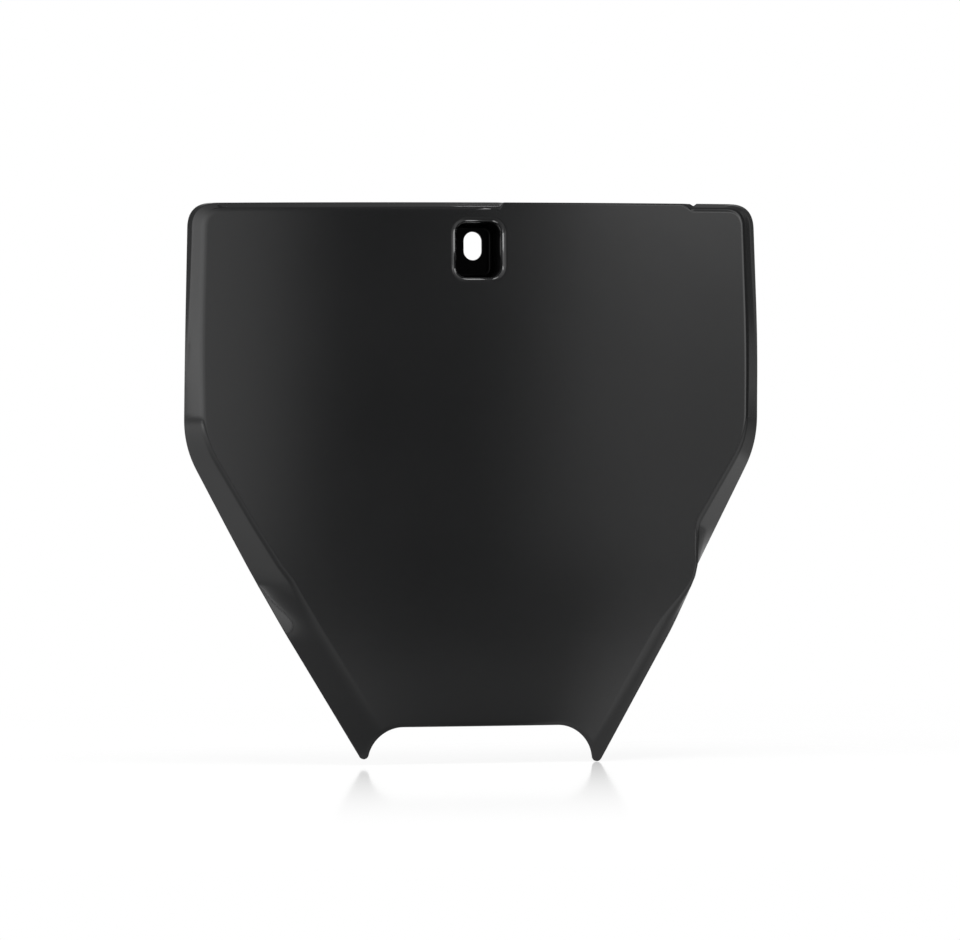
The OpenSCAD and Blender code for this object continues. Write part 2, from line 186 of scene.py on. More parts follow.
def topStations(startX):
    e = topEdge
    flat = np.concatenate([
        spaced(-startX, -e["pocketReach"], e["stepWide"])[1:],
        spaced(-e["pocketReach"], e["gapStart"], e["stepFine"]), [e["gapStart"]]])
    plain = np.concatenate([
        [e["gapPlain"]], spaced(e["gapPlain"] + 1, e["pocketReach"], e["stepFine"]),
        spaced(e["pocketReach"], e["notchStart"], e["stepWide"]), [e["notchStart"]]])
    notch = np.linspace(e["notchStart"], e["notchEnd"], 4)[1:]
    after = spaced(e["gapEnd"], startX, e["stepWide"])
    x = np.concatenate([flat, plain, notch, after])
    isPlain = (x > e["gapStart"]) & (x < e["gapEnd"])
    flare = mix(board["topFlareLeft"], board["topFlareRight"], (x + cornerHalf) / (2 * cornerHalf))
    notchShare = np.clip((x - e["notchStart"]) / (e["notchEnd"] - e["notchStart"]), 0, 1)
    plainZ = topZ - mix(e["plainDrop"], e["notchDrop"], notchShare)
    foldZ = np.where(isPlain, plainZ, topZ - flare)
    rimZ = np.where(isPlain, plainZ, topZ)
    depth = np.where(isPlain, e["plainDepth"], board["topDepth"])
    fold = np.where(isPlain, e["plainFold"], board["fold"])
    return np.stack([x, foldZ, depth, fold, fold], 1), rimZ


def mirrored(places):
    return places * np.array([-1] + [1] * (places.shape[1] - 1))


leftRows, rightRows = sideRows(True), sideRows(False)
leftFolds = downSide(leftRows[:, :5], board["foldReach"])
rightFolds = downSide(rightRows[:, :5], board["foldReach"])
leftRims = downSide(leftRows[:, 5:], board["rimReach"])
rightRims = downSide(rightRows[:, 5:], board["rimReach"])
topFolds, topRimZ = topStations(leftFolds[0, 0])
spread = cornerHalf / (cornerHalf - board["sideFlare"])
topRims = np.stack([topFolds[:, 0] * spread, topRimZ], 1)
folds = np.vstack([mirrored(leftFolds)[::-1], topFolds, rightFolds])
rims = np.vstack([mirrored(leftRims)[::-1], topRims, rightRims])
sideCount = len(leftFolds)  # stations of a side
topCount = len(topFolds)
onTop = slice(sideCount, sideCount + topCount)

# Shares over the flange, from its rim to its fold, and round the fold itself
flangeShares = np.concatenate([np.linspace(0, 0.45, 14), np.linspace(0.45, 1, 9)[1:-1], [0.96]])
foldShares = np.linspace(0, 1, 9)
footSupport = 0.35  # a last line on the face beside the fold, so that the face stays flat up to it


def foldedEdge(e):
    # The edge's section at every station, e below the outside: a straight flange, then a true arc (a conic
    # whose weight is the cosine of half the turn), then a short step onto the face. Inside corners lie at
    # e (nFace + nFlange) / (1 + nFace . nFlange) from the outside ones.
    ahead = np.minimum(np.arange(len(folds)) + 1, len(folds) - 1)
    behind = np.maximum(np.arange(len(folds)) - 1, 0)
    x, z = folds[:, 0], folds[:, 1]
    corner0 = np.stack([x, faceY(x), z], 1)
    rim0 = np.stack([rims[:, 0], faceY(x) + folds[:, 2], rims[:, 1]], 1)
    along = (corner0 + rim0)[ahead] - (corner0 + rim0)[behind]
    along[onTop] = [1, 0, 0]
    across = folds[ahead, :2] - folds[behind, :2]
    inward = unit(np.stack([across[:, 1], -across[:, 0]], 1))
    inward[onTop] = [0, -1]
    nFace = faceInward(x)
    nFlange = unit(np.cross(rim0 - corner0, along))
    cosTurn = dot(nFace, nFlange)
    back = e * np.sqrt((1 - cosTurn) / (1 + cosTurn))
    corner = corner0 + e * (nFace + nFlange) / (1 + cosTurn)
    down = unit(rim0 - corner0)
    rim = rim0 + e * nFlange - board["edgeRound"] * down
    faceLeg = np.maximum(board["leastFold"], folds[:, 3:4] - back)
    flangeLeg = np.maximum(board["leastFold"], folds[:, 4:5] - back)
    flangeRun = np.linalg.norm(rim - corner, axis=1, keepdims=True)
    flangeLeg = np.minimum(flangeLeg, board["legShare"] * flangeRun)

    def onFace(reach):
        fx = x + (inward * reach)[:, 0]
        flat = np.stack([fx, faceY(fx), z + (inward * reach)[:, 1]], 1)
        return flat + e * faceInward(fx)
    foot = onFace(back + faceLeg)
    shoulder = corner + flangeLeg * down
    weight = np.sqrt((1 + cosTurn) / 2)[:, None]
    s = foldShares[None, :, None]
    conic = ((1 - s) ** 2 * shoulder[:, None] + 2 * weight * s * (1 - s) * corner[:, None]
             + s ** 2 * foot[:, None]) / ((1 - s) ** 2 + 2 * weight * s * (1 - s) + s ** 2)
    # A side flange is two flats that meet in a blunt line, so far from the rim; only the outside has it. Flats
    # that turn by the bend B at a and b from the ends of a + b stand proud by B a b / (a + b) where they meet.
    run = np.linalg.norm(shoulder - rim, axis=1)[:, None]
    share = np.clip((z - board["bendLow"]) / (board["bendFull"] - board["bendLow"]), 0, 1)[:, None]
    share[onTop] = 0
    at = board["bendAt"] * np.sqrt(share) + board["bendLeast"]
    fromRim = flangeShares[None, :] * run
    bend = np.where(x < 0, board["bendLeft"], board["bendRight"])[:, None] * np.sqrt(share)
    bend = bend * (e == 0)
    first, second = fromRim / at, (run - fromRim) / (run - at)
    blunt = 0.5 * (first + second - np.sqrt((first - second) ** 2 + board["bendSoft"]))
    proud = np.maximum(blunt, 0) * bend * at * (run - at) / run
    flange = mix(rim[:, None], shoulder[:, None], flangeShares[None, :, None])
    flange = flange - proud[..., None] * nFlange[:, None]
    return np.concatenate([flange, conic, onFace(back + faceLeg + footSupport)[:, None]], 1)


# The cut-out between the prongs, as a height over x
def cutHeight(x, grow):
    # Roof, corner arcs, and tip circles that each arc touches, all moved into the material by grow
    lean = math.atan(footSlope)
    out = np.full_like(x, roofZ + grow)
    for side, tipR, cutR, drop in ((-1, board["tipLeft"], board["cutLeft"], 0),
                                   (1, board["tipRight"], board["cutRight"], board["prongStep"])):
        tipCz = tipZ - drop + tipR
        tipCx = lowerRim(tipCz) - tipR / math.cos(lean)
        arcCz = roofZ - cutR
        reach = cutR + tipR - board["cutOverlap"]
        arcCx = tipCx - math.sqrt(reach ** 2 - (tipCz - arcCz) ** 2)
        meetX = tipCx - (tipR - grow) * (tipCx - arcCx) / reach
        outerX = tipCx + (tipR - grow) * math.cos(lean)
        u = x * side
        arc = arcCz + np.sqrt(np.maximum((cutR + grow) ** 2 - (u - arcCx) ** 2, 0))
        tip = tipCz - np.sqrt(np.maximum((tipR - grow) ** 2 - (np.minimum(u, outerX) - tipCx) ** 2, 0))
        out = np.where(u > arcCx, arc, out)
        out = np.where(u > meetX, tip, out)
    return out


def trimmed(grid):
    # The last straight run of every column is shortened so that it ends on the cut-out
    runs = board["runSteps"][-1]
    run = grid[-runs - 1:]

    def at(share):  # share is [rows, columns]
        f = share * runs
        low = np.minimum(f.astype(int), runs - 1)
        columns = np.arange(grid.shape[1])[None, :]
        t = (f - low)[..., None]
        return mix(run[low, columns], run[low + 1, columns], t)
    probe = np.linspace(0, 1, board["probes"])[:, None] * np.ones((1, grid.shape[1]))
    points = at(probe)
    above = points[..., 2] - cutHeight(points[..., 0], board["edgeRound"])
    first = np.argmax(above < 0, axis=0)
    columns = np.arange(grid.shape[1])
    a, b = above[first - 1, columns], above[first, columns]
    end = (first - 1 + a / (a - b)) / (len(probe) - 1)
    out = grid.copy()
    out[-runs - 1:] = at(np.linspace(0, 1, runs + 1)[:, None] * end[None, :])
    return out


def skin(e):
    # One side of the wall: a grid of rows down both sides with the face between them, and the top's edge
    edge = foldedEdge(e)
    outer = foldedEdge(0)
    last = edge.shape[1] - 1
    left, right = edge[:sideCount][::-1], edge[sideCount + topCount:]
    footLeft, footRight = outer[:sideCount][::-1, last], outer[sideCount + topCount:, last]
    shares = (topFolds[:, 0] - footLeft[0, 0]) / (footRight[0, 0] - footLeft[0, 0])
    x = mix(footLeft[:, None, 0], footRight[:, None, 0], shares[None])
    z = mix(footLeft[:, None, 2], footRight[:, None, 2], shares[None])
    middle = np.stack([x, faceY(x), z], -1) + e * faceInward(x)
    middle[0] = edge[onTop][:, last]
    grid = np.concatenate([left, middle, right[:, ::-1]], 1)
    return trimmed(grid), edge[onTop][:, :last]


# A mesh put together from grids of point numbers
class Builder:
    def __init__(self):
        self.points, self.faces, self.count = [], [], 0

    def add(self, points):  # gives the numbers of the new points, in the same shape
        flat = points.reshape(-1, 3)
        self.points.append(flat)
        numbers = np.arange(self.count, self.count + len(flat)).reshape(points.shape[:-1])
        self.count += len(flat)
        return numbers

    def sheet(self, ids, flip=False, skip=None):  # quads over a grid of numbers, rows down and columns right
        a, b, c, d = ids[:-1, :-1], ids[1:, :-1], ids[1:, 1:], ids[:-1, 1:]
        quads = np.stack([a, d, c, b] if flip else [a, b, c, d], -1)
        keep = np.ones(quads.shape[:2], bool)
        for r0, r1, c0, c1 in skip or []:
            keep[r0:r1, c0:c1] = False
        self.faces.append(quads[keep])

    def tube(self, loops, flip=False):  # quads between closed loops of equal length
        ring = np.array(loops)
        ids = np.concatenate([ring, ring[:, :1]], 1)
        self.sheet(ids, not flip)

    def cap(self, loop, centre, flip=False):
        middle = np.full(len(loop), centre)
        following = np.roll(loop, -1)
        order = [loop, middle, following, following] if flip else [loop, following, middle, middle]
        self.faces.append(np.stack(order, -1))

    def make(self, name):
        points = np.vstack(self.points)
        quads = np.vstack(self.faces)
        used, numbers = np.unique(quads, return_inverse=True)
        numbers = numbers.reshape(quads.shape)
        faces = [tuple(f[:3]) if f[2] == f[3] else tuple(f) for f in numbers.tolist()]
        mesh = bpy.data.meshes.new(name)
        mesh.from_pydata((points[used] * millimetre).tolist(), [], faces)
        mesh.validate()
        mesh.shade_smooth()
        mesh.set_sharp_from_angle(angle=math.radians(38))
        thing = bpy.data.objects.new(name, mesh)
        bpy.context.scene.collection.objects.link(thing)
        return thing


def rectangleLoop(ids, r0, r1, c0, c1):  # numbers round a block of cells, counter-clockwise from the front
    return np.concatenate([ids[r1:r0:-1, c1], ids[r0, c1:c0:-1], ids[r0:r1, c0], ids[r1, c0:c1]])


class Outline:
    # Rounded rectangles about a centre, with one point for every point of a surrounding loop. The place of
    # a point is its direction in the loop: halves of each quarter keep their shares of arc length.
    def __init__(self, loop, centre):
        self.centre = centre
        d = loop[:, [0, 2]] - np.array(centre)
        half = np.abs(d).max(0)
        share = np.abs(d) / half
        self.sign = np.sign(d)
        big = share.max(1)
        self.onSide = share[:, 0] >= share[:, 1]
        self.t = np.where(self.onSide, share[:, 1] / big, share[:, 0] / big)

    def at(self, halfX, halfZ, r, y, centre=None):
        def half(straight):
            s = self.t * (straight + r * math.pi / 4)
            a = np.maximum(s - straight, 0) / r
            return np.where(s < straight, s, straight + r * np.sin(a)), r * (1 - np.cos(a))
        upX, insetX = half(halfZ - r)
        upZ, insetZ = half(halfX - r)
        x = np.where(self.onSide, halfX - insetX, upZ) * self.sign[:, 0]
        z = np.where(self.onSide, upX, halfZ - insetZ) * self.sign[:, 1]
        cx, cz = self.centre if centre is None else centre
        x = x + cx
        depth = y(x) if callable(y) else np.full_like(x, y)
        return np.stack([x, depth, z + cz], 1)


# Bolt pocket
pocket = {
    "mouthWidth": 19.6, "mouthHeight": 23.4, "mouthCorner": 4.6, "mouthCentre": (-0.8, -2.5),
    "lipWidth": 2.4, "lipDepth": 1.9,
    "width": 21.0, "height": 25.2, "corner": 5.0, "centreZ": -2.9, "draft": 0.9,
    "floor": 2.6, "floorFillet": 1.3, "slotHalfX": 4.0, "slotHalfZ": 6.1, "seatRim": 3.4,
    "slotEdge": 0.3, "seatEdge": 0.25, "backFillet": 0.8, "support": 0.2,
    "roomAbove": 3.0, "roomBelow": 3.4,  # between the pocket and the cells of the face that it replaces
    "bevel": 0.65, "backFilletLean": 0.5,
    # Rows of the mesh: shares of the way over the face, down the wall and through the slot, and distances from
    # the lip, the floor and the back
    "faceRows": (0.4, 0.75), "wallRows": (0.35, 0.7), "slotRows": (0.2, 0.8), "lipNear": 0.5, "floorNear": 0.4,
}


def pocketLoops(outline, faceLoop):
    # Rings from the face over the lip, down the drafted wall, across the floor, through the slot, over the
    # seat, and up the outside of the pocket to the back of the face
    p = pocket
    wall = board["wall"]

    def ring(grow, y):  # about the mouth
        return outline.at(p["mouthWidth"] / 2 + grow, p["mouthHeight"] / 2 + grow, p["mouthCorner"] + grow, y,
                          p["mouthCentre"])

    def block(grow, y):  # about the outside of the pocket
        return outline.at(p["width"] / 2 + grow, p["height"] / 2 + grow, p["corner"] + grow, y)

    def slot(grow, y):
        return outline.at(p["slotHalfX"] + grow, p["slotHalfZ"] + grow, p["slotHalfX"] + grow, y, (0, 0))
    floorY = -p["floor"]
    lip, deep, fillet, edge, seat = p["lipWidth"], p["lipDepth"], p["floorFillet"], p["slotEdge"], p["seatEdge"]
    lipRing = ring(lip + p["support"], faceY)
    loops = [mix(faceLoop, lipRing, t) for t in p["faceRows"]]
    for loop in loops:
        loop[:, 1] = faceY(loop[:, 0])
    loops.append(lipRing)
    quarter = np.radians(np.linspace(0, 90, 13))
    for a in quarter:
        loops.append(ring(lip * (1 - math.sin(a)), lambda x, a=a: faceY(x) + deep * (1 - math.cos(a))))
    lipEnd, floorStart = board["frontY"] + deep, floorY - fillet
    wallRows = [mix(lipEnd, floorStart, t) for t in p["wallRows"]]
    for y in [lipEnd + p["lipNear"]] + wallRows + [floorStart - p["floorNear"]]:
        loops.append(ring(-p["draft"] * (y - lipEnd) / (floorStart - lipEnd), y))
    quarter = quarter[::3]
    for a in quarter:
        loops.append(ring(-p["draft"] - fillet * (1 - math.cos(a)), floorStart + fillet * math.sin(a)))
    loops.append(ring(-p["draft"] - fillet - p["support"], floorY))
    loops.append(slot(edge + p["support"], floorY))
    loops += [slot(edge * (1 - math.sin(a)), floorY + edge * (1 - math.cos(a))) for a in quarter]
    loops += [slot(0, mix(floorY + edge, -edge, t)) for t in p["slotRows"]]
    loops += [slot(edge * (1 - math.cos(a)), -edge * (1 - math.sin(a))) for a in quarter]
    loops.append(slot(edge + p["support"], 0))
    loops.append(slot(p["seatRim"] - seat - p["support"], 0))
    loops += [slot(p["seatRim"] - seat * (1 - math.sin(a)), -seat * (1 - math.cos(a))) for a in quarter]
    bevel = p["bevel"]
    backY = -bevel
    loops += [slot(p["seatRim"], backY), slot(p["seatRim"] + p["support"], backY)]
    blockGrow = wall - p["draft"]
    loops += [block(blockGrow - bevel - p["support"], backY)]
    loops += [block(blockGrow - bevel * (1 - math.sin(a)), backY - bevel * (1 - math.cos(a))) for a in quarter]
    reach = p["backFillet"]
    blockStart, blockEnd = backY - bevel, board["frontY"] + wall + reach
    for y in (blockStart - p["floorNear"], mix(blockStart, blockEnd, 0.5), blockEnd + p["floorNear"]):
        loops.append(block(mix(blockGrow, wall, (y - blockStart) / (blockEnd - blockStart)), y))
    for a in quarter[::-1]:
        grow = wall + reach * (1 - math.sin(a)) * p["backFilletLean"]
        loops.append(block(grow, lambda x, a=a: faceY(x) + wall + reach * (1 - math.cos(a))))
    return loops


# Locating pegs on the back
pegs = {"span": 68.0, "rise": 17.1, "r": 4.0, "length": 12.0, "chamfer": 1.0, "padRim": 3.0, "padHeight": 1.4,
        "fillet": 0.4, "reach": 9.5,
        # Rows of the mesh, and the row of the skin's grid that is near the pegs
        "padNear": 0.4, "support": 0.3, "footRow": 1.0, "nearRow": -10}


def pegLoops(outline, x):
    # Rings from the back of the face over the pad and up the peg to its end
    g = pegs
    wall = board["wall"]
    padR = g["r"] + g["padRim"]
    padY = float(faceY(np.array(abs(x) + padR))) + wall + g["padHeight"]
    endY = padY + g["length"]
    f, near = g["fillet"], g["support"]
    quarter = np.radians([0, 30, 60, 90])

    def circle(r, y):
        return outline.at(r, r, r, y)

    def onBack(rise):
        return lambda px: faceY(px) + wall + rise
    loops = [circle(padR + f + g["padNear"], onBack(0))]
    loops += [circle(padR + f * (1 - math.sin(a)), onBack(f * (1 - math.cos(a)))) for a in quarter]
    loops += [circle(padR - f * (1 - math.cos(a)), padY - f * (1 - math.sin(a))) for a in quarter]
    loops += [circle(padR - f - near, padY), circle(g["r"] + f + near, padY)]
    loops += [circle(g["r"] + f * (1 - math.sin(a)), padY + f * (1 - math.cos(a))) for a in quarter]
    loops += [circle(g["r"], padY + g["footRow"]), circle(g["r"], endY - g["chamfer"] - near),
              circle(g["r"], endY - g["chamfer"]), circle(g["r"] - g["chamfer"], endY),
              circle(g["r"] - g["chamfer"] - near, endY)]
    return loops, endY


def nearest(values, wanted):
    return int(np.argmin(np.abs(values - wanted)))


def makeBoard():
    wall, r = board["wall"], board["edgeRound"]
    build = Builder()
    skins = []
    for e in (0.0, wall):
        grid, top = skin(e)
        rows, columns = grid.shape[:2]
        last = top.shape[1]
        ids = build.add(grid)
        topIds = np.zeros((last + 1, topCount + 2), int)
        topIds[:last, 1:-1] = build.add(top).T
        topIds[:, 0] = ids[0, :last + 1]
        topIds[:, -1] = ids[0, ::-1][:last + 1]
        topIds[last] = ids[0, last:columns - last]
        skins.append((grid, ids, top, topIds))
    grid, ids, top, topIds = skins[0]
    middle = columns // 2
    # The block of cells that the pocket replaces
    rowZ = grid[:, middle, 2]
    r0 = nearest(rowZ, pocket["centreZ"] + pocket["height"] / 2 + pocket["roomAbove"])
    r1 = nearest(rowZ, pocket["centreZ"] - pocket["height"] / 2 - pocket["roomBelow"])
    rowX = grid[(r0 + r1) // 2, :, 0]
    c0, c1 = nearest(rowX, -topEdge["pocketReach"]), nearest(rowX, topEdge["pocketReach"])
    block = (r0, r1, c0, c1)
    backGrid, backIds = skins[1][:2]
    pegBlocks = []
    pegZ = roofZ + pegs["rise"]
    for x in (-pegs["span"] / 2, pegs["span"] / 2):
        middleColumn = nearest(backGrid[pegs["nearRow"], :, 0], x)
        p0 = nearest(backGrid[:, middleColumn, 2], pegZ + pegs["reach"])
        p1 = nearest(backGrid[:, middleColumn, 2], pegZ - pegs["reach"])
        row = backGrid[(p0 + p1) // 2, :, 0]
        pegBlocks.append((p0, p1, nearest(row, x - pegs["reach"]), nearest(row, x + pegs["reach"])))
    build.sheet(ids, skip=[block])
    build.sheet(topIds)
    build.sheet(backIds, flip=True, skip=[block] + pegBlocks)
    build.sheet(skins[1][3], flip=True)

    # Free edge all round: a quarter circle, a flat, and a quarter circle
    def boundary(ids, topIds):
        return np.concatenate([ids[::-1, 0], topIds[0, 1:-1], ids[:, -1], ids[-1, -2:0:-1]])
    frontLoop, backLoop = boundary(ids, topIds), boundary(backIds, skins[1][3])
    points = np.vstack(build.points)
    a, b = points[frontLoop], points[backLoop]
    through = unit(b - a)
    middleLine = a + b
    tangent = np.roll(middleLine, -1, 0) - np.roll(middleLine, 1, 0)
    off = unit(np.cross(tangent, through))
    turn = np.radians([30, 60, 90])
    strip = [a + r * math.sin(q) * off + r * (1 - math.cos(q)) * through for q in turn]
    strip += [b + r * math.sin(q) * off - r * (1 - math.cos(q)) * through for q in turn[::-1]]
    build.tube([frontLoop] + [build.add(s) for s in strip] + [backLoop])

    # Pocket
    frontRect, backRect = rectangleLoop(ids, *block), rectangleLoop(backIds, *block)
    outline = Outline(points[frontRect], (0.0, pocket["centreZ"]))
    loops = pocketLoops(outline, points[frontRect])
    build.tube([frontRect] + [build.add(loop) for loop in loops] + [backRect])

    # Pegs
    for x, pegBlock in zip((-pegs["span"] / 2, pegs["span"] / 2), pegBlocks):
        rect = rectangleLoop(backIds, *pegBlock)
        outline = Outline(points[rect], (x, pegZ))
        loops, endY = pegLoops(outline, x)
        numbers = [build.add(loop) for loop in loops]
        build.tube([rect] + numbers, flip=True)
        centre = build.add(np.array([[x, endY, pegZ]]))[0]
        build.cap(numbers[-1], centre, flip=True)
    return build.make("numberBoard")


# Shader maths
class Term:
    # A shader socket that takes part in Python arithmetic
    def __init__(self, tree, socket):
        self.tree, self.socket = tree, socket

    def do(self, operation, a, b=None):
        values = [a] if b is None else [a, b]
        return Shader.node(self.tree, "ShaderNodeMath", {"operation": operation}, dict(enumerate(values)))

    def __add__(self, other):
        return self.do("ADD", self, other)

    def __radd__(self, other):
        return self.do("ADD", other, self)

    def __sub__(self, other):
        return self.do("SUBTRACT", self, other)

    def __rsub__(self, other):
        return self.do("SUBTRACT", other, self)

    def __mul__(self, other):
        return self.do("MULTIPLY", self, other)

    def __rmul__(self, other):
        return self.do("MULTIPLY", other, self)

    def __truediv__(self, other):
        return self.do("DIVIDE", self, other)

    def __pow__(self, other):
        return self.do("POWER", self, other)

    def below(self, other):  # 1 or 0
        return self.do("LESS_THAN", self, other)

    def atLeast(self, other):
        return self.do("MAXIMUM", self, other)

    def limited(self):  # from 0 to 1
        return self.do("MINIMUM", self.atLeast(0.0), 1.0)

    def absolute(self):
        return self.do("ABSOLUTE", self)

    def bell(self):
        return self.do("EXPONENT", self)

    def angleFrom(self, ahead):  # ahead is where the angle is 0
        return self.do("ARCTAN2", self, ahead)


class Shader:
    # One way to make any node: its type, its settings, and the values or links of its sockets
    @staticmethod
    def node(tree, kind, settings=None, inputs=None, output=0):
        made = tree.nodes.new(kind)
        for name, value in (settings or {}).items():
            if name == "stops":
                ramp = made.color_ramp
                while len(ramp.elements) < len(value):
                    ramp.elements.new(1.0)
                for element, (place, colour) in zip(ramp.elements, value):
                    element.position, element.color = place, colour
            else:
                setattr(made, name, value)
        for name, value in (inputs or {}).items():
            if isinstance(value, Term):
                tree.links.new(value.socket, made.inputs[name])
            else:
                made.inputs[name].default_value = value
        return Term(tree, made.outputs[output])


def parts(tree, vector):  # the three numbers of a vector
    return [Shader.node(tree, "ShaderNodeSeparateXYZ", None, {0: vector}, output=k) for k in range(3)]


plastic = {
    "colour": (0.0075, 0.0077, 0.0080, 1), "dustColour": (0.0095, 0.0097, 0.0100, 1),
    "roughness": 0.1, "roughnessSpread": 0.04, "ior": 1.5,
    # Painted shade deep in the bolt pocket, in metres: where it starts and is whole, half its width and height,
    # its share
    "deepStart": -0.0203, "deepEnd": -0.0178, "deepHalfX": 0.0102, "deepHalfZ": 0.0122, "pocketShadeShare": 0.88,
    # colour of the painted shade in the pocket
    "pocketShadeColour": (0.0022, 0.0022, 0.0023, 1),
    "cloudScale": 14.0, "grainScale": 900.0, "grainHeight": 0.0000016,
    "waveScale": 60.0, "waveHeight": 0.00001,
}


def glossyPlastic():
    # Black moulded plastic: faint clouds in colour and gloss, long soft waves and a fine skin in the bump
    m = plastic
    material = bpy.data.materials.new("glossBlackPlastic")
    material.use_nodes = True
    tree = material.node_tree
    tree.nodes.clear()
    node = Shader.node
    place = node(tree, "ShaderNodeTexCoord", output=3)
    cloud = node(tree, "ShaderNodeTexNoise", None, {"Vector": place, "Scale": m["cloudScale"], "Detail": 4.0})
    grain = node(tree, "ShaderNodeTexNoise", None, {"Vector": place, "Scale": m["grainScale"], "Detail": 2.0})
    wave = node(tree, "ShaderNodeTexNoise", None, {"Vector": place, "Scale": m["waveScale"], "Detail": 1.0})
    stops = [(0.4, (0, 0, 0, 1)), (0.75, (1, 1, 1, 1))]
    amount = node(tree, "ShaderNodeValToRGB", {"stops": stops}, {"Fac": cloud})
    colour = node(tree, "ShaderNodeMix", {"data_type": "RGBA"},
                  {0: amount, 6: m["colour"], 7: m["dustColour"]}, output=2)
    roughness = m["roughness"] + (cloud - 0.5) * m["roughnessSpread"]
    height = wave * m["waveHeight"] + grain * m["grainHeight"]
    normal = node(tree, "ShaderNodeBump", None, {"Height": height, "Distance": 1.0, "Strength": 1.0})
    body = node(tree, "ShaderNodeBsdfPrincipled", None,
                {"Base Color": colour, "Roughness": roughness, "IOR": m["ior"], "Normal": normal})
    # Down in the bolt pocket a dark matt surface is mixed in: painted shade for the dark inside of the pocket
    x, y, z = parts(tree, place)
    aside = (x - pocket["mouthCentre"][0] * millimetre).absolute()
    upDown = (z - pocket["mouthCentre"][1] * millimetre).absolute()
    deep = ((y - m["deepStart"]) / (m["deepEnd"] - m["deepStart"])).limited()
    inside = aside.below(m["deepHalfX"]) * upDown.below(m["deepHalfZ"])
    inside = inside * y.below(-pocket["floor"] * millimetre / 2)
    # painted shade: a dark matt surface mixed in deep in the pocket
    paintedShade = node(tree, "ShaderNodeBsdfDiffuse", None, {"Color": m["pocketShadeColour"]})
    both = node(tree, "ShaderNodeMixShader", None, {0: deep * inside * m["pocketShadeShare"], 1: body, 2: paintedShade})
    out = tree.nodes.new("ShaderNodeOutputMaterial")
    tree.links.new(both.socket, out.inputs["Surface"])
    return material


numberBoard = makeBoard()
numberBoard.data.materials.append(glossyPlastic())
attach(numberBoard, "root")
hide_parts("number_board")
print("number board:", len(numberBoard.data.polygons), "faces")

# Camera, fitted to the photograph's outline
view = {"azimuth": 10.0, "distance": 2.2, "target": (0.0, -0.011, -0.09605), "lens": 193.2, "roll": 0.35,
        "shift": 2.3 / 960}


def makeCamera():
    v = view
    azimuth = math.radians(v["azimuth"])
    look = Vector((math.sin(azimuth), math.cos(azimuth), 0))
    data = bpy.data.cameras.new("camera")
    data.lens, data.sensor_width, data.sensor_fit = v["lens"], 36, "HORIZONTAL"
    data.shift_x = v["shift"]
    data.clip_start, data.clip_end = 0.05, 50
    camera = bpy.data.objects.new("camera", data)
    bpy.context.scene.collection.objects.link(camera)
    turn = Matrix.Rotation(-azimuth, 4, "Z") @ Matrix.Rotation(math.radians(90), 4, "X")
    turn = turn @ Matrix.Rotation(-math.radians(v["roll"]), 4, "Z")
    camera.matrix_world = Matrix.Translation(Vector(v["target"]) - look * v["distance"]) @ turn
    bpy.context.scene.camera = camera


makeCamera()
print("camera set")

# Floor, lamps and surroundings
studio = {
    "floorZ": -0.2209, "floorSize": 8.0, "floorColour": (0.9, 0.9, 0.9, 1), "white": 0.85, "whiteReach": 0.6,
    "gloss": 0.5, "glossRoughness": 0.085, "glossReach": 0.45, "feet": 0.06,
    # Painted shade and light on the floor, which only reflections show: a grey all over, paler far to the left
    # and in front
    #     # to the right, darker straight in front, near the feet, and far behind to the right
    "floorShadeGrey": 0.52, "leftGain": 0.6, "leftSlope": 0.7, "leftShift": 0.3,
    "rightGain": 0.8, "rightTurn": 19.0, "rightSlope": 6.0,
    "frontShade": 0.45, "frontTurn": 8.0, "frontWidth": 14.0, "frontReach": 0.2,
    "nearShade": 0.6, "nearReach": 0.45, "nearFront": 0.08, "nearRight": 0.5,
    "backShade": 0.4, "backStart": 0.5, "backSlope": 8.0, "backReach": 0.3, "backShift": 0.8,
    # name, place, aimed at, size x, size y, power: large and soft, out of sight of the gloss
    "lamps": [
        ("leftBox", (-1.7, -0.5, 0.3), (0, 0, -0.1), 0.9, 1.4, 30.0),
        ("topBox", (0.2, -0.6, 1.5), (0, 0, -0.1), 1.2, 0.7, 24.0)],
    # the same with the spread of a grid in degrees: small lamps that only put gleams on the pocket and the gap
    "gleams": [
        ("gleamRight", (0.0315, -0.034, 0.0035), (-0.0108, -0.0212, 0.0015), 0.034, 0.010, 0.0010, 70),
        ("gleamLeft", (-0.046, -0.044, 0.0050), (0.0098, -0.0218, 0.0030), 0.040, 0.010, 0.0012, 70),
        ("gleamUnder", (-0.004, -0.0335, -0.034), (-0.006, -0.0218, 0.0095), 0.020, 0.024, 0.0014, 70),
        ("gleamOver", (0.000, -0.030, 0.013), (-0.002, -0.0218, -0.0145), 0.012, 0.015, 0.00055, 70),
        ("gleamGap", (0.0205, 0.0748, 0.099), (-0.0015, -0.0185, 0.017), 0.020, 0.010, 0.00025, 60)],
}


